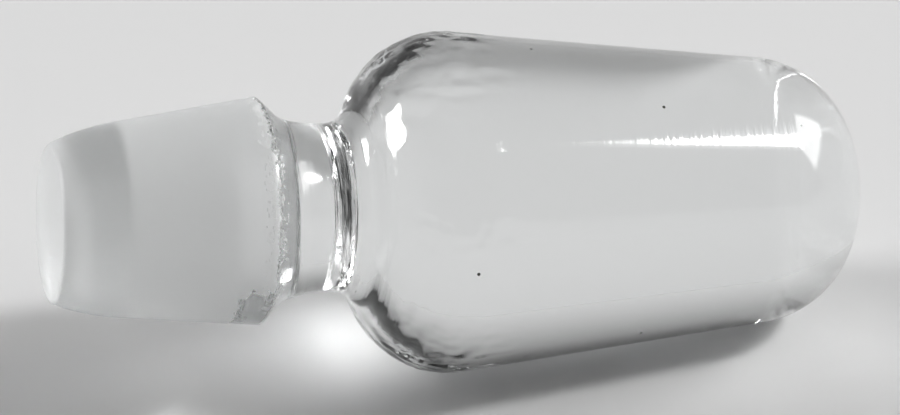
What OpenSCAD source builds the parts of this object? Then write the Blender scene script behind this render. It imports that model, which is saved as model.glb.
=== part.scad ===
// Solid glass stopper: a ground conical plug, a polished waist and a long domed head, all one piece.
// It lies on its side. The head is slightly conical, so it rests along one straight line of its
// surface, and the plug points a little upwards. The long axis is in the XZ plane, plug towards -X.

/* [Plug] */
// Diameter of the plug where its flat end would meet its side without the rounding
plug_end_d = 18.6; // [17:0.1:20]
// Rounding of the rim around the flat end
plug_rim_r = 0.7; // [0.4:0.1:1.2]
// Length of the curved nose, from the flat end to the start of the ground cone
nose_len = 7.7; // [6:0.1:9]
// Diameter at the small end of the ground cone
ground_small_d = 22.9; // [22:0.1:24]
// Length of the ground cone
ground_len = 16.8; // [14:0.1:20]
// Diameter at the large end of the ground cone
ground_large_d = 27; // [26:0.1:28]

/* [Neck] */
// Length of the bevel behind the ground cone
bevel_len = 2.7; // [2.2:0.1:3]
// Diameter at the foot of the bevel
bevel_foot_d = 21.8; // [21.4:0.1:22.4]
// Rounding between the bevel and the neck
knee_r = 3; // [1.5:0.1:4]
// Distance from the large end of the ground cone to the narrowest place
waist_dist = 8.5; // [8:0.1:10]
// Diameter at the narrowest place
waist_d = 19.9; // [19:0.1:20.4]
// Radius of the fillet that turns up into the head
neck_fillet_r = 3.9; // [3:0.1:4.2]
// Steepest angle of the shoulder to the long axis, in degrees
shoulder_angle = 69; // [62:1:72]

/* [Head] */
// Largest diameter of the head
head_d = 40.9; // [40.4:0.1:43]
// Radius of the rounded shoulder
shoulder_r = 11.6; // [10:0.1:12]
// Angle between the head's side and the long axis, in degrees
head_taper = 6.1; // [4:0.1:7]
// Length of the whole stopper
total_len = 98.9; // [92:0.1:110]
// Radius of the corner between the side and the domed end
crown_corner_r = 12.6; // [10:0.1:14]
// Radius of the domed end
crown_r = 62; // [50:1:80]

/* [Hidden] */
$fn = 180;
glass = [0.86, 0.88, 0.88, 0.5];
// Largest turn between two points of an arc, in degrees, and the fewest steps in any arc
arc_step = 4;
arc_least = 6;
// Points below are [radius, distance from the flat end along the axis]

// Ground cone, and the nose: an arc that meets the cone without a corner
ground_angle = atan2((ground_large_d - ground_small_d) / 2, ground_len);
ground_start = [ground_small_d / 2, nose_len];
ground_end = [ground_large_d / 2, nose_len + ground_len];
plug_corner = [plug_end_d / 2, 0];
nose_chord = ground_start - plug_corner;
nose_r = norm(nose_chord) / (2 * sin(atan2(nose_chord[0], nose_chord[1]) - ground_angle));
nose_centre = ground_start - nose_r * [cos(ground_angle), -sin(ground_angle)];

// Rim: a circle that touches the flat end and the nose from inside
rim_offset = sqrt((nose_r - plug_rim_r) ^ 2 - (nose_centre[1] - plug_rim_r) ^ 2);
rim_centre = nose_centre + [rim_offset, plug_rim_r - nose_centre[1]];
rim_start = [rim_centre[0], 0];
nose_start = touch(nose_centre, rim_centre, nose_r);

// Waist: a long arc that runs level at the narrowest place
waist = [waist_d / 2, ground_end[1] + waist_dist];
bevel_foot = [bevel_foot_d / 2, ground_end[1] + bevel_len];
waist_drop = bevel_foot - waist;
waist_r = (waist_drop * waist_drop) / (2 * waist_drop[0]);
waist_centre = waist + [waist_r, 0];

// Knee: a circle that touches the bevel and the waist's arc, its centre on a line beside the bevel
bevel_way = (bevel_foot - ground_end) / norm(bevel_foot - ground_end);
bevel_out = [bevel_way[1], -bevel_way[0]];
knee_centre = on_line(ground_end + knee_r * bevel_out, bevel_way, waist_centre, waist_r - knee_r);
knee_start = knee_centre - knee_r * bevel_out;
waist_start = touch(waist_centre, knee_centre, waist_r);

// Fillet out of the waist, then the rounded shoulder that it leads into
fillet_centre = waist + [neck_fillet_r, 0];
fillet_end = fillet_centre + neck_fillet_r * [-cos(shoulder_angle), sin(shoulder_angle)];
shoulder_centre_r = head_d / 2 - shoulder_r;
shoulder_start_r = shoulder_centre_r + shoulder_r * cos(shoulder_angle);
shoulder_gap = (shoulder_start_r - fillet_end[0]) / tan(shoulder_angle);
shoulder_start = [shoulder_start_r, fillet_end[1] + shoulder_gap];
shoulder_centre = [shoulder_centre_r, shoulder_start[1] + shoulder_r * sin(shoulder_angle)];
side_out = [cos(head_taper), sin(head_taper)];
side_way = [-sin(head_taper), cos(head_taper)];
shoulder_end = shoulder_centre + shoulder_r * side_out;

// Crown: a corner circle that touches the head's side and the domed end from inside
crown_centre = [0, total_len - crown_r];
corner_line = shoulder_end - crown_corner_r * side_out;
corner_centre = on_line(corner_line, side_way, crown_centre, crown_r - crown_corner_r);
corner_start = corner_centre + crown_corner_r * side_out;
crown_start = touch(crown_centre, corner_centre, crown_r);
apex = [0, total_len];

// Resting place: the lowest line of the head's side lies on z = 0, and the middle of the length on x = 0
axis_height = shoulder_end * side_out;
x_low = rim_centre * [-sin(head_taper), cos(head_taper)] - plug_rim_r;
crown_half_angle = atan2(corner_centre[0], corner_centre[1] - crown_centre[1]);
x_high = crown_half_angle > head_taper
    ? crown_centre[1] * cos(head_taper) + crown_r
    : corner_centre * [sin(head_taper), cos(head_taper)] + crown_corner_r;
x_middle = (x_low + x_high) / 2;

// Point where two circles touch, from the outer circle's centre and radius and the inner one's centre
function touch(outer, inner, r) = outer + r * (inner - outer) / norm(inner - outer);

// Farther point of a line that is r away from a centre; the line starts at a point and runs one way
function on_line(start, way, centre, r) =
    let (half_b = (start - centre) * way, c = (start - centre) * (start - centre) - r ^ 2)
    start + (sqrt(half_b ^ 2 - c) - half_b) * way;

// Points along an arc around a centre, from one of its ends to the other
function arc(centre, from, to) =
    let (
        r = norm(from - centre),
        first = atan2(from[1] - centre[1], from[0] - centre[0]),
        last = atan2(to[1] - centre[1], to[0] - centre[0]),
        turn = abs(last - first) > 180 ? last - first - 360 * sign(last - first) : last - first,
        steps = max(arc_least, ceil(abs(turn) / arc_step))
    )
    [for (i = [0:steps]) centre + r * [cos(first + turn * i / steps), sin(first + turn * i / steps)]];

// Half outline, from the middle of the flat end round to the top of the crown
outline = concat(
    [[0, 0]],
    arc(rim_centre, rim_start, nose_start),
    arc(nose_centre, nose_start, ground_start),
    [ground_end],
    arc(knee_centre, knee_start, waist_start),
    arc(waist_centre, waist_start, waist),
    arc(fillet_centre, waist, fillet_end),
    arc(shoulder_centre, shoulder_start, shoulder_end),
    arc(corner_centre, corner_start, crown_start),
    arc(crown_centre, crown_start, apex)
);

module stopper() {
    color(glass)
        translate([-x_middle, 0, axis_height])
            rotate([0, 90 + head_taper, 0])
                rotate_extrude()
                    polygon(outline);
}

stopper();
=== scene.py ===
# %% [markdown]
# # A solid glass stopper, lying on its side
# This is the stopper of a large reagent bottle, made from one piece of clear glass. It has three
# parts, all in that one piece: a conical plug ground with grit so that it seals in its own bottle,
# a narrow polished neck, and a long domed head that the hand pulls on.
# The script loads a fixed frame first. The frame says where the stopper is and how big it is, so
# every later cell only adds finish, never a new place or a new size.

# %% Load the frame
import math

import bpy
import numpy as np
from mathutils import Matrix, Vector, noise


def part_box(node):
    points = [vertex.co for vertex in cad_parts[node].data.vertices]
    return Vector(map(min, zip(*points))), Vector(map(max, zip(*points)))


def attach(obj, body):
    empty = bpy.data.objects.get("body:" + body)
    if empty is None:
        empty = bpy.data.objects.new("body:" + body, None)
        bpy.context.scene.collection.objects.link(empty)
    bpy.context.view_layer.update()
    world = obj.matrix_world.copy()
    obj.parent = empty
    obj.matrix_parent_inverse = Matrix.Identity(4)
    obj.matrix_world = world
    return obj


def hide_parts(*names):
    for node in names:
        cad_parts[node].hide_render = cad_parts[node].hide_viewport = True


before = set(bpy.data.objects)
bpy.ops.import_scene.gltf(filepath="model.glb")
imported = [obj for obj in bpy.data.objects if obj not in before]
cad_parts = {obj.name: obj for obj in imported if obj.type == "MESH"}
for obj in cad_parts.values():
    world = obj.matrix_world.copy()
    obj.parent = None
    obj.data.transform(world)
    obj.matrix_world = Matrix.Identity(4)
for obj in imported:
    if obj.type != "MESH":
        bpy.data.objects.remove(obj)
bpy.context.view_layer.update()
stopper_low, stopper_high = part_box("stopper")
print("stopper box in mm:", [round(v * 1000, 2) for v in (*stopper_low, *stopper_high)])

# %% [markdown]
# ## The outline
# A stopper like this is pressed and then turned and ground, so it is round about one axis. Half of
# its outline is enough to describe it. The outline is a chain of straight lines and arcs that meet
# without corners, except at the large end of the ground cone, where the grinding stopped.
# It could be drawn as a Bezier curve, but glass mirrors every wobble of its surface, and arcs worked
# out from circle geometry have none. Points are (radius, distance from the flat end) in millimetres.


# %% Helpers for points, lines and arcs
def point(radius, along):
    return np.array([radius, along], float)


def touch_point(outer, inner, outer_radius):
    """Where a circle touches a bigger one that it lies in, or a smaller one beside it."""
    return outer + outer_radius * (inner - outer) / np.linalg.norm(inner - outer)


def centre_on_line(start, way, centre, distance):
    """The farther point of a line that is this far from a centre."""
    half = (start - centre) @ way
    rest = (start - centre) @ (start - centre) - distance**2
    return start + (math.sqrt(half**2 - rest) - half) * way


def arc_points(centre, first, last, step=1.5):
    """Points along the short way round an arc, this many degrees apart."""
    radius = np.linalg.norm(first - centre)
    start = math.atan2(first[1] - centre[1], first[0] - centre[0])
    stop = math.atan2(last[1] - centre[1], last[0] - centre[0])
    turn = (stop - start + math.pi) % (2 * math.pi) - math.pi
    steps = max(6, math.ceil(abs(math.degrees(turn)) / step))
    angles = [start + turn * i / steps for i in range(steps + 1)]
    return [centre + radius * point(math.cos(a), math.sin(a)) for a in angles]


print("a quarter arc of 1 mm has", len(arc_points(point(0, 0), point(1, 0), point(0, 1))), "points")

# %% [markdown]
# ### The plug
# The plug is a truncated cone, 22.9 mm across at its small end and 27.0 mm at its large end, over
# 16.8 mm. Below it comes a blunt nose, one long arc that leaves the cone without a corner and ends in
# a small rounded rim round the flat end.

# %% Plug, nose and rim
plug_end_width, cone_start_width, cone_end_width = 18.6, 22.9, 27.0
nose_length, cone_length = 7.7, 16.8
cone_start = point(cone_start_width / 2, nose_length)
cone_end = point(cone_end_width / 2, nose_length + cone_length)
cone_slope = math.atan2(cone_end[0] - cone_start[0], cone_end[1] - cone_start[1])
chord = cone_start - point(plug_end_width / 2, 0)
chord_slope = math.atan2(chord[0], chord[1])
nose_radius = np.linalg.norm(chord) / (2 * math.sin(chord_slope - cone_slope))
nose_centre = cone_start - nose_radius * point(math.cos(cone_slope), -math.sin(cone_slope))
rim_radius = 0.7
rim_reach = math.sqrt((nose_radius - rim_radius) ** 2 - (nose_centre[1] - rim_radius) ** 2)
rim_centre = point(nose_centre[0] + rim_reach, rim_radius)
nose_start = touch_point(nose_centre, rim_centre, nose_radius)
print("cone half angle:", round(math.degrees(cone_slope), 2), "degrees")
print("nose radius:", round(float(nose_radius), 1), "mm")

# %% [markdown]
# ### The neck
# Behind the plug a short bevel drops to the neck. The neck is a long hollow arc that is level at the
# waist, its narrowest place. A rounded knee joins the bevel to that arc: its centre lies on a line
# beside the bevel, at the one place where the circle also touches the neck's arc. Its radius is 4 mm,
# a little more than in the plain solid, because polishing rounds an edge.

# %% Bevel, knee and waist
waist_width, waist_distance = 19.9, 8.5
bevel_foot_width, bevel_length = 21.8, 2.7
waist = point(waist_width / 2, cone_end[1] + waist_distance)
bevel_foot = point(bevel_foot_width / 2, cone_end[1] + bevel_length)
waist_drop = bevel_foot - waist
waist_radius = (waist_drop @ waist_drop) / (2 * waist_drop[0])
waist_centre = waist + point(waist_radius, 0)
bevel_way = (bevel_foot - cone_end) / np.linalg.norm(bevel_foot - cone_end)
bevel_out = point(bevel_way[1], -bevel_way[0])
knee_radius = 4.0
knee_centre = centre_on_line(
    cone_end + knee_radius * bevel_out, bevel_way, waist_centre, waist_radius - knee_radius
)
knee_start = knee_centre - knee_radius * bevel_out
waist_start = touch_point(waist_centre, knee_centre, waist_radius)
print("neck arc radius:", round(float(waist_radius), 1), "mm")

# %% [markdown]
# ### The head
# The neck turns up into the head through a tight fillet, then a wide rounded shoulder. From there
# the head's side leans in by 6.1 degrees as far as a rounded corner, and a shallow dome closes the
# end. The head lies on the table along one line of that side, so the stopper's axis isn't level.

# %% Shoulder and dome
taper, shoulder_slope = math.radians(6.1), math.radians(69)
head_width, fillet_radius, shoulder_radius = 40.9, 3.9, 11.6
fillet_centre = waist + point(fillet_radius, 0)
fillet_end = fillet_centre + fillet_radius * point(
    -math.cos(shoulder_slope), math.sin(shoulder_slope)
)
shoulder_out = head_width / 2 - shoulder_radius
shoulder_rim = shoulder_out + shoulder_radius * math.cos(shoulder_slope)
shoulder_run = (shoulder_rim - fillet_end[0]) / math.tan(shoulder_slope)
shoulder_start = point(shoulder_rim, fillet_end[1] + shoulder_run)
shoulder_middle = shoulder_start[1] + shoulder_radius * math.sin(shoulder_slope)
shoulder_centre = point(shoulder_out, shoulder_middle)
side_out = point(math.cos(taper), math.sin(taper))
side_way = point(-math.sin(taper), math.cos(taper))
shoulder_end = shoulder_centre + shoulder_radius * side_out

full_length, corner_radius, dome_radius = 98.9, 12.6, 62.0
dome_centre = point(0, full_length - dome_radius)
corner_centre = centre_on_line(
    shoulder_end - corner_radius * side_out, side_way, dome_centre, dome_radius - corner_radius
)
corner_start = corner_centre + corner_radius * side_out
dome_start = touch_point(dome_centre, corner_centre, dome_radius)
print("head side from", round(float(shoulder_end[1]), 1), "to", round(float(corner_start[1]), 1), "mm")

# %% [markdown]
# ### The whole chain
# Long straight stretches get extra points, because the skin will later lean at the plug and swell a
# little in the shoulder, and only a surface with points can do that.

# %% Half outline
outline = (
    [point(0, 0)]
    + arc_points(rim_centre, point(rim_centre[0], 0), nose_start, step=6)
    + arc_points(nose_centre, nose_start, cone_start)
    + [cone_end]
    + arc_points(knee_centre, knee_start, waist_start)
    + arc_points(waist_centre, waist_start, waist)
    + arc_points(fillet_centre, waist, fillet_end)
    + arc_points(shoulder_centre, shoulder_start, shoulder_end)
    + arc_points(corner_centre, corner_start, dome_start)
    + arc_points(dome_centre, dome_start, point(0, full_length))
)


def split_long(points, longest=0.8):
    """The same line with no stretch longer than this, and no point twice."""
    out = [points[0]]
    for here in points[1:]:
        gap = np.linalg.norm(here - out[-1])
        if gap < 1e-6:
            continue
        pieces = max(1, math.ceil(gap / longest))
        before = out[-1]
        out += [before + (here - before) * i / pieces for i in range(1, pieces + 1)]
    return out


outline = split_long(outline)
print("outline:", len(outline), "points")

# %% [markdown]
# ## From the stopper's axis to the table
# The stopper lies on the lowest line of its head, so its plug points a little upwards. One function
# turns a place on the stopper (along the axis, across it, and up from it) into a place in the frame.
# A real stopper isn't perfect: its plug was ground by hand in its bottle, so the plug and half of the
# neck lean about a degree from the head's axis.

# %% Place on the stopper to place in the frame
axis_height = float(shoulder_end @ side_out)
low_end = float(rim_centre @ side_way) - rim_radius
high_end = dome_centre[1] * math.cos(taper) + dome_radius
middle = (low_end + high_end) / 2
lean = math.radians(1.3)
lean_forward, lean_down = 0.5, 0.86  # the way it leans: mostly down, and a little to the front
bend_start, tilt_length = 4.0, 8  # mm: how gently the bend starts, and where the tilt is full


def in_frame(along, across, up):
    """From the stopper's own axis to the frame it lies in, in metres."""
    x = -middle + along * math.cos(taper) + up * math.sin(taper)
    z = axis_height - along * math.sin(taper) + up * math.cos(taper)
    return Vector((x, across, z)) / 1000


def lean_of_plug(along, across, up):
    """Bends the plug and half of the neck away from the head's axis."""
    reach = max(0.0, waist[1] - along)
    ease = reach * reach / (reach + bend_start)
    return (
        along + math.sin(lean) * up * min(1.0, reach / tilt_length),
        across - lean_forward * ease * math.tan(lean),
        up - lean_down * ease * math.tan(lean),
    )


print("axis height at the flat end:", round(in_frame(0, 0, 0).z * 1000, 2), "mm")

# %% [markdown]
# ## Lumps in the shoulder
# The shoulder was shaped with a paddle while the glass was soft, and it stayed slightly lumpy. The
# lumps are a tenth of a millimetre, too low to feel, but thick glass is a strong lens, and they give
# every dark edge in the shoulder its teeth. They are real shape, not bump, so that the outline has
# them too. They come from noise with a lump every 2 mm or so, in three layers, each twice as fine
# and half as high as the one before.

# %% Lumps
lump_height = 0.12
lumps_along, lumps_around = 0.40, 0.50  # lumps per mm
lumps_start, lumps_end = 36.0, 54.0  # mm from the flat end
lumps_rise, lumps_fall = 3, 4  # mm over which they come in and die away


def lumps(along, across, up):
    """How much the surface swells here, in mm: only in the shoulder."""
    rise = min(1.0, max(0.0, (along - lumps_start) / lumps_rise))
    here = rise * min(1.0, max(0.0, (lumps_end - along) / lumps_fall))
    spot = Vector((along * lumps_along, across * lumps_around, up * lumps_around))
    return lump_height * here * noise.fractal(spot, 1.0, 2.0, 3) if here > 0 else 0.0


print("swell on top of the shoulder:", round(lumps(42, 0, 18), 3), "mm")

# %% [markdown]
# ## The body of glass
# The outline is turned about the axis into one closed skin. A Screw modifier would turn it too, but
# the lean and the lumps need every point moved on its own, so the rings of points are made one by
# one. The skin is closed at both ends, because light bends right only in a closed body.


# %% Turn the outline into a skin
def skin_of(name, around=288):
    points, faces = [], []
    for radius, along in outline[1:-1]:
        for k in range(around):
            a = 2 * math.pi * k / around
            across, up = radius * math.cos(a), radius * math.sin(a)
            swell = 1 + lumps(along, across, up) / radius
            points.append(in_frame(*lean_of_plug(along, across * swell, up * swell)))
    rings = len(outline) - 2
    for i in range(rings - 1):
        ring, next_ring = i * around, (i + 1) * around
        for k in range(around):
            n = (k + 1) % around
            faces.append((ring + k, ring + n, next_ring + n, next_ring + k))
    flat, tip = len(points), len(points) + 1
    points.append(in_frame(*lean_of_plug(outline[0][1], 0, 0)))
    points.append(in_frame(*lean_of_plug(outline[-1][1], 0, 0)))
    last_ring = (rings - 1) * around
    for k in range(around):
        n = (k + 1) % around
        faces.append((flat, n, k))
        faces.append((tip, last_ring + k, last_ring + n))
    mesh = bpy.data.meshes.new(name)
    mesh.from_pydata(points, [], faces)
    mesh.update()
    made = bpy.data.objects.new(name, mesh)
    bpy.context.scene.collection.objects.link(made)
    return made


stopper = skin_of("clear_glass_stopper")
for face in stopper.data.polygons:
    face.use_smooth = True
stopper.data.update()
print("skin:", len(stopper.data.vertices), "points,", len(stopper.data.polygons), "faces")

# %% [markdown]
# ## Helpers for materials
# Colours are chosen as the eye sees them, in sRGB, and the renderer works in linear light, so one
# function converts them. Another adds a node, sets its inputs or links them, and hands back one
# output, so that a material reads as a list of steps.


# %% Colour and node helpers
def linear(code):
    """An sRGB hex colour as linear RGBA."""
    parts = [int(code[i : i + 2], 16) / 255 for i in (1, 3, 5)]
    return (*[c / 12.92 if c <= 0.04045 else ((c + 0.055) / 1.055) ** 2.4 for c in parts], 1.0)


def add(tree, kind, *values, named=None, output=0, **settings):
    """Adds a node and gives it settings. Inputs are values or other nodes' outputs, in the node's
    own order (None leaves one alone) or by name. Hands back one output."""
    node = tree.nodes.new("ShaderNode" + kind)
    for name, value in settings.items():
        setattr(node, name, value)
    for key, value in [*enumerate(values), *(named or {}).items()]:
        if isinstance(value, bpy.types.NodeSocket):
            tree.links.new(value, node.inputs[key])
        elif value is not None:
            node.inputs[key].default_value = value
    return node.outputs[output] if node.outputs else node


def new_tree(owner):
    """The empty node tree of a new material, world or lamp."""
    owner.use_nodes = True
    owner.node_tree.nodes.clear()
    return owner.node_tree


print("polished glass colour, linear:", [round(c, 3) for c in linear("#f8f9f9")[:3]])

# %% [markdown]
# ## Soda-lime glass, flame polished on the head and ground on the plug
# Clear soda-lime glass bends light with an index of about 1.52. Where it was polished it is
# perfectly smooth, so all that shows is what lies behind it, bent and turned upside down, and what
# it mirrors. Where it was ground with grit, the surface is a mass of tiny pits that scatter light,
# which gives the plug its soft grey-white look. One material covers both, because it is one piece
# of glass: masks that run along the axis and round it say how each place was finished.
# First the shader works out, for every spot, how far along the axis it is and which way is outward.
# The frame is in metres and the glassworker thinks in millimetres, so lengths are given times mm.

# %% Coordinates along and around the stopper
mm = 0.001
glass = bpy.data.materials.new("soda_lime_glass")
tree = new_tree(glass)
axis_start = in_frame(0, 0, 0)
axis_way = (in_frame(1, 0, 0) - in_frame(0, 0, 0)).normalized()
place = add(tree, "TexCoord", output="Object")
from_end = add(tree, "VectorMath", place, axis_start, operation="SUBTRACT")
along = add(tree, "VectorMath", from_end, axis_way, operation="DOT_PRODUCT", output="Value")
on_axis = add(tree, "VectorMath", axis_way, None, None, along, operation="SCALE")
outward = add(tree, "VectorMath", from_end, on_axis, operation="SUBTRACT")
print("axis runs along", [round(v, 3) for v in axis_way])

# %% [markdown]
# ### Zones and patterns in millimetres
# A zone is 1 between two distances from the flat end and fades out softly beyond them.
# A pattern is noise or cells with so many features per millimetre along the axis and around it:
# few around and many along gives the fine rings that any turned surface has.


# %% Zones and patterns
def zone(low_mm, high_mm, blend_mm):
    """1 between two distances from the flat end, 0 outside, with a soft edge."""
    up = add(tree, "MapRange", along, (low_mm - blend_mm) * mm, low_mm * mm)
    down = add(tree, "MapRange", along, (high_mm + blend_mm) * mm, high_mm * mm)
    return add(tree, "Math", up, down, operation="MULTIPLY")


def pattern(kind, per_mm_along, per_mm_around, output, **values):
    """A texture with so many features per millimetre along and around the stopper."""
    run = add(tree, "VectorMath", on_axis, None, None, per_mm_along / mm, operation="SCALE")
    turn = add(tree, "VectorMath", outward, None, None, per_mm_around / mm, operation="SCALE")
    spot = add(tree, "VectorMath", run, turn, operation="ADD")
    return add(tree, kind, named={"Vector": spot, "Scale": 1.0, **values}, output=output)


print("zones and patterns: 1 mm is", mm, "m in the frame")

# %% [markdown]
# ### Where the grinding ran out
# The plug was turned in its bottle's neck with wet grit until the two fitted. The grit wore the
# cone evenly but stopped at a ragged line at its large end, and low in front it never reached the
# last 4 mm, so a clear crescent is left there. The nose below the cone hardly touched the bottle's
# neck and was ground finer. Noise about a millimetre wide tears all these edges:
# it is about a half on average, so an edge is moved by half its tearing to stay where it should be.

# %% Ground zone and clear crescent
cone_stop = nose_length + cone_length
edge_tear, edge_blur, crescent_height = 1.4, 0.15, 4.0
low_angle = math.radians(60)
low_side = Vector((0.0, -math.cos(low_angle), -math.sin(low_angle)))
round_way = add(tree, "VectorMath", outward, operation="NORMALIZE")
facing = add(tree, "VectorMath", round_way, low_side, operation="DOT_PRODUCT", output="Value")
tears = pattern("TexNoise", 0.9, 0.9, "Fac", Detail=3.0)
side_tear = 0.30
edge_cosine, full_cosine = 0.86, 0.92  # how directly a place faces the low side
torn_side = add(tree, "Math", tears, side_tear, facing, operation="MULTIPLY_ADD")
crescent = add(tree, "MapRange", torn_side, edge_cosine, full_cosine)
shifted = add(tree, "Math", crescent, crescent_height * mm, along, operation="MULTIPLY_ADD")
ragged = add(tree, "Math", tears, edge_tear * mm, shifted, operation="MULTIPLY_ADD")
edge = cone_stop + edge_tear / 2
ground = add(tree, "MapRange", ragged, (edge + edge_blur) * mm, (edge - edge_blur) * mm)
print("the grinding ends at", cone_stop, "mm, and the crescent is", crescent_height, "mm high")

# %% Coarse grinding on the cone and the flat end
nose_tear = 1.0
torn_nose = add(tree, "Math", tears, nose_tear * mm, along, operation="MULTIPLY_ADD")
cone_fade, cone_full = nose_length + 0.2, nose_length + 1.0
past_nose = add(tree, "MapRange", torn_nose, cone_fade * mm, cone_full * mm)
cone = add(tree, "Math", ground, past_nose, operation="MULTIPLY")
face_fade, face_full = 2.4, 0.6
flat_end = add(tree, "MapRange", along, face_fade * mm, face_full * mm)
coarse = add(tree, "Math", cone, flat_end, operation="MAXIMUM")
print("coarse grinding from about", nose_length, "mm to", cone_stop, "mm, and on the flat end")

# %% [markdown]
# ### Chips
# The last turns of the grinding tore out small chips at the cone's large end, except in the
# crescent, and a few came off the rim of the flat end where it faces down. Each is under half a
# millimetre and flashes like sugar. Cells of that size hold one random number each, and the nearer
# to the edge, the more of them count as chipped.

# %% Chips
chips_per_mm, chip_share = 2.6, 0.66
clear_of_crescent = add(tree, "MapRange", facing, full_cosine, edge_cosine)
edge_zone, rim_zone = zone(cone_stop - edge_blur, cone_stop, 1.6), zone(0.45, 0.8, 0.5)
at_edge = add(tree, "Math", edge_zone, clear_of_crescent, operation="MULTIPLY")
rim_fade, rim_full = 0.70, 0.85  # again as a cosine to the low side
low_rim = add(tree, "MapRange", facing, rim_fade, rim_full)
at_rim = add(tree, "Math", rim_zone, low_rim, operation="MULTIPLY")
chip_cells = pattern("TexVoronoi", chips_per_mm, chips_per_mm, "Color")
chip_pick = add(tree, "SeparateColor", chip_cells)
near_edge = add(tree, "Math", at_edge, at_rim, operation="MAXIMUM")
chip_odds = add(tree, "Math", near_edge, chip_share, chip_pick, operation="MULTIPLY_ADD")
chip_fade, chip_full = 1.04, 1.08
chips = add(tree, "MapRange", chip_odds, chip_fade, chip_full)
print("chips are about", round(1 / chips_per_mm, 2), "mm across")

# %% [markdown]
# ### Rings
# Turning the hot glass left faint rings in the neck and fainter ones along the head, too shallow to
# feel, but enough to comb the edge of every reflection, and grit left fine rings on the cone. All of
# it is height in real millimetres. The rings are about 0.6 mm apart and 20 mm long, a little coarser
# than the real scratches, which would be too fine to show.

# %% Relief
rings_along, rings_around = 1.7, 0.05  # rings per mm
turning = pattern("TexNoise", rings_along, rings_around, "Fac", Detail=3.0)
neck, head, ground_cone = zone(25.5, 38.0, 1.0), zone(44.0, 99.0, 4.0), zone(9.5, 23.5, 1.0)
neck_rings, head_rings, cone_rings, chip_depth = 0.045, 0.006, 0.012, 0.050  # mm
relief = None
for marks, where, height_mm in (
    (turning, neck, neck_rings),
    (turning, head, head_rings),
    (turning, ground_cone, cone_rings),
    (chip_pick, chips, chip_depth),
):
    height = add(tree, "Math", marks, height_mm * mm, operation="MULTIPLY")
    part = add(tree, "Math", height, where, operation="MULTIPLY")
    relief = part if relief is None else add(tree, "Math", relief, part, operation="ADD")
bump = add(tree, "Bump", named={"Strength": 1.0, "Distance": 1.0, "Height": relief})
print("rings up to", neck_rings, "mm high and", round(1 / rings_along, 2), "mm apart")

# %% [markdown]
# ### Roughness, scatter and specks
# Polished glass has no roughness at all. The nose was ground finer than the cone and the flat end.
# The bevel and the knee were hard to reach with the polishing flame and stayed slightly dull.

# %% Roughness of each zone
nose_rough, coarse_rough, knee_rough = 0.28, 0.14, 0.14
worked = add(tree, "Math", coarse, coarse_rough, nose_rough, operation="MULTIPLY_ADD")
worked = add(tree, "Math", worked, ground, operation="MULTIPLY")
dull_knee = add(tree, "Math", zone(25.5, 29.5, 1.5), knee_rough, operation="MULTIPLY")
roughness = add(tree, "Math", worked, dull_knee, operation="MAXIMUM")
print("roughness: nose", nose_rough, "cone", round(nose_rough + coarse_rough, 2), "head 0")

# %% [markdown]
# Deep pits send light back before it gets through, so ground glass also has a share of plain white
# scatter, more where it is coarser and most in the chips. Roughness alone would leave it too clear.

# %% White scatter
nose_white, coarse_white, chip_white = 0.17, 0.38, 0.30
scatter = add(tree, "Math", coarse, coarse_white, nose_white, operation="MULTIPLY_ADD")
scatter = add(tree, "Math", ground, scatter, operation="MULTIPLY")
scatter = add(tree, "Math", chips, chip_white, scatter, operation="MULTIPLY_ADD")
print("white scatter: nose", nose_white, "cone", round(nose_white + coarse_white, 2))

# %% [markdown]
# A few dark specks of dirt from the melt lie in the head, about 0.4 mm across. Each cell of a
# pattern has one point, and a speck is what is very near to it. Most points lie inside the glass or
# outside it, where nothing shows, and only the few near the surface leave a speck.

# %% Specks and tint
specks_per_mm, speck_fade, speck_full = 0.2, 0.045, 0.030
speck_cells = pattern("TexVoronoi", specks_per_mm, specks_per_mm, "Distance")
in_speck = add(tree, "MapRange", speck_cells, speck_fade, speck_full)
specks = add(tree, "Math", in_speck, zone(46.0, 94.0, 1.0), operation="MULTIPLY")
blocked = add(tree, "Math", scatter, specks, operation="MAXIMUM")
clearness = add(tree, "Math", 1.0, blocked, operation="SUBTRACT")
factor_and_colours = {0: specks, 6: linear("#f8f9f9"), 7: linear("#55564f")}
tint = add(tree, "Mix", named=factor_and_colours, data_type="RGBA", output=2)
print("specks are about", round((speck_fade + speck_full) / specks_per_mm, 1), "mm across")

# %% [markdown]
# ### One shader for the whole piece
# Everything that is the same all over, here the index of refraction, is set on the shader itself.
# Only what changes from place to place is linked to it.

# %% Put the glass together
shader = add(
    tree,
    "BsdfPrincipled",
    named={
        "Base Color": tint,
        "Roughness": roughness,
        "IOR": 1.52,
        "Transmission Weight": clearness,
        "Normal": bump,
    },
)
add(tree, "OutputMaterial", shader)
stopper.data.materials.append(glass)
print("material:", glass.name, "with", len(tree.nodes), "nodes")

# %% [markdown]
# ## Hand the skin over to the frame
# The skin stands for the frame's plain solid and moves with the same body. The solid stays in the
# physics, and only the skin is seen.

# %% Ride on the frame
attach(stopper, "root")
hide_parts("stopper")
print("skin rides on root")

# %% [markdown]
# ## Table
# Clear glass has almost no look of its own: it shows its surroundings. So the set matters as much
# as the material. The table is a sheet of matt white card, large enough that its far edge looks like
# a horizon through the glass. It lies a hair below the stopper, so that the two never share a face.

# %% Table
table_half, table_drop = 1.5, 0.00002
corners = [(-1, -1), (1, -1), (1, 1), (-1, 1)]
table_mesh = bpy.data.meshes.new("table_top")
table_mesh.from_pydata([(x * table_half, y * table_half, 0) for x, y in corners], [], [(0, 1, 2, 3)])
table_top = bpy.data.objects.new("table_top", table_mesh)
bpy.context.scene.collection.objects.link(table_top)
card = bpy.data.materials.new("matt_white_card")
tree = new_tree(card)
paper = add(tree, "BsdfPrincipled", named={"Base Color": linear("#e6e6e6"), "Roughness": 0.9})
add(tree, "OutputMaterial", paper)
table_mesh.materials.append(card)
table_top.location.z = -table_drop
print("table:", 2 * table_half, "m wide")

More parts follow.
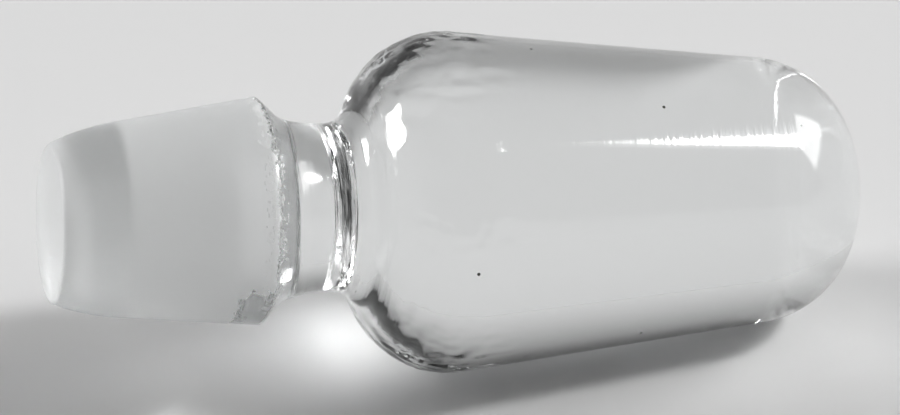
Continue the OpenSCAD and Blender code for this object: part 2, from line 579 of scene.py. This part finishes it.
# %% [markdown]
# ## The room
# The world stands for the room round the table. It is pale at the horizon and gets darker towards
# the ceiling. In front, above a low pale strip, it is nearly black: that is where the viewer stands.
# The glass needs both, light to fill it and dark to draw the lines in its neck and shoulder. An even
# grey world would leave it without edges. The brightness is worked out from the direction looked in:
# its Z part says how high that is, and its Y part how far to the back.

# %% World
world = bpy.data.worlds.new("pale_horizon")
bpy.context.scene.world = world
tree = new_tree(world)
way = add(tree, "TexCoord", output="Generated")
to_back = add(tree, "SeparateXYZ", way, output="Y")
to_top = add(tree, "SeparateXYZ", way, output="Z")
horizon_glow, ceiling_glow, ceiling_from = 0.66, 0.02, 0.80
wall = add(tree, "MapRange", to_top, 0.0, ceiling_from, horizon_glow, ceiling_glow)
strip_top, dark_from = 0.13, 0.20
above = add(tree, "MapRange", to_top, strip_top, dark_from)
side_end, front_start, darkest = -0.34, -0.52, 0.94
front = add(
    tree,
    "MapRange",
    to_back,
    side_end,
    front_start,
    0.0,
    darkest,
    interpolation_type="SMOOTHSTEP",
)
shade = add(tree, "Math", above, front, operation="MULTIPLY")
room = add(tree, "Math", 1.0, shade, operation="SUBTRACT")
bright = add(tree, "Math", wall, room, operation="MULTIPLY")
sky = add(tree, "Background", (1, 1, 1, 1), bright)
add(tree, "OutputWorld", sky)
print("world:", world.name, "from", horizon_glow, "at the horizon to", ceiling_glow, "overhead")

# %% [markdown]
# ## Lamps
# Each lamp is an upright soft box, a lit panel with a brighter middle and fading edges, as cloth in
# front of a bulb has. It is placed by where the stopper sees it: a compass direction, and the angles
# of its lower and upper edge. The right box is the main light, and its core is the bulb behind the
# cloth, small and strong enough for the glass to throw a clear pool of light on the table. The left
# box is smaller, stands behind, and has a darker bar across it.


# %% Soft box
edge_glow = 0.15  # how bright the cloth still is at its hem
bar_half, bar_blur, bar_glow = 0.02, 0.04, 0.35  # shares of the panel's height, and its brightness


def soft_box(name, compass, distance, low, high, half_width, radiance, soft_edge, bar=None):
    """An upright lit panel that faces the stopper: compass is degrees from +Y towards +X, low, high
    and half width are angles as the stopper sees them, and bar is how far up the bar lies."""
    bottom, top = (distance * math.tan(math.radians(a)) for a in (low, high))
    width = 2 * distance * math.tan(math.radians(half_width))
    data = bpy.data.lights.new(name, "AREA")
    data.shape, data.size, data.size_y = "RECTANGLE", width, top - bottom
    data.energy = radiance * math.pi * width * (top - bottom)
    tree = new_tree(data)
    panel = add(tree, "NewGeometry", output="Parametric")
    across = add(tree, "SeparateXYZ", panel, output="X")
    upward = add(tree, "SeparateXYZ", panel, output="Y")
    glow = None
    for place, middle_at, low_glow, near, far, blend in (
        (across, 0.5, edge_glow, 0.5, 0.5 - soft_edge, "SMOOTHSTEP"),
        (upward, 0.5, edge_glow, 0.5, 0.5 - soft_edge, "SMOOTHSTEP"),
        (upward, bar, bar_glow, bar_half, bar_half + bar_blur, "LINEAR"),
    ):
        if middle_at is None:
            continue
        off = add(tree, "Math", place, middle_at, operation="SUBTRACT")
        off = add(tree, "Math", off, operation="ABSOLUTE")
        fade = add(tree, "MapRange", off, near, far, low_glow, 1.0, interpolation_type=blend)
        glow = fade if glow is None else add(tree, "Math", glow, fade, operation="MULTIPLY")
    lit = add(tree, "Emission", (1, 1, 1, 1), glow)
    add(tree, "OutputLight", lit)
    made = bpy.data.objects.new(name, data)
    bpy.context.scene.collection.objects.link(made)
    c = math.radians(compass)
    made.location = (distance * math.sin(c), distance * math.cos(c), (bottom + top) / 2)
    facing_in = Vector((-math.sin(c), -math.cos(c), 0))
    made.rotation_euler = facing_in.to_track_quat("-Z", "Y").to_euler()
    made.visible_camera = False
    print(name, "is", round(width, 2), "m wide and", round(top - bottom, 2), "m high")


right = dict(compass=96.2, distance=2.4, low=25, high=52.6, half_width=23.3)
core = dict(compass=108, distance=2.35, low=42, high=51, half_width=8)
left = dict(compass=-61, distance=2.4, low=12.5, high=33, half_width=14)
soft_box("right_box", **right, radiance=5.5, soft_edge=0.12)
soft_box("right_core", **core, radiance=64, soft_edge=0.30)
soft_box("left_box", **left, radiance=18, soft_edge=0.22, bar=0.27)

# %% [markdown]
# ## Camera
# The camera looks down at the stopper from about 30 degrees, a little from the plug's side, as
# someone bending over a table would. A long lens keeps the stopper's shape free from wide-angle
# stretch. The place it looks at is inside the stopper, near the middle of its box.

# %% Camera
elevation, azimuth, distance = math.radians(31.5), math.radians(-14.45), 0.456
aim = Vector((-0.00063, 0.00009, 0.01948))
back = Vector(
    (
        math.sin(azimuth) * math.cos(elevation),
        -math.cos(azimuth) * math.cos(elevation),
        math.sin(elevation),
    )
)
camera_data = bpy.data.cameras.new("camera")
camera_data.lens, camera_data.sensor_width = 152, 36
camera_data.clip_start, camera_data.clip_end = 0.01, 50
camera = bpy.data.objects.new("camera", camera_data)
bpy.context.scene.collection.objects.link(camera)
camera.location = aim + back * distance
camera.rotation_euler = (-back).to_track_quat("-Z", "Y").to_euler()
bpy.context.scene.camera = camera
print("camera at mm:", [round(v * 1000) for v in camera.location])

# %% [markdown]
# ## Picture settings
# Light crosses many surfaces inside solid glass, so it gets more bounces than usual, and a loose
# clamp leaves the pool of light on the table its strength. The Standard view keeps whites white,
# a gamma under 1 makes the middle tones deeper, and the exposure lifts the whole a little.

# %% Picture settings
scene = bpy.context.scene
scene.view_settings.view_transform = "Standard"
scene.view_settings.exposure = 0.16
scene.view_settings.gamma = 0.80
scene.cycles.max_bounces = 18
scene.cycles.transmission_bounces = 16
scene.cycles.glossy_bounces = 8
scene.cycles.diffuse_bounces = 3
scene.cycles.sample_clamp_indirect = 60.0
print("view:", scene.view_settings.view_transform, "bounces:", scene.cycles.max_bounces)

# %% [markdown]
# The skin has to stay inside the frame's box, give or take a few tenths of a millimetre for the
# leaning plug. Last, the view layer is brought up to date.

bpy.context.view_layer.update()
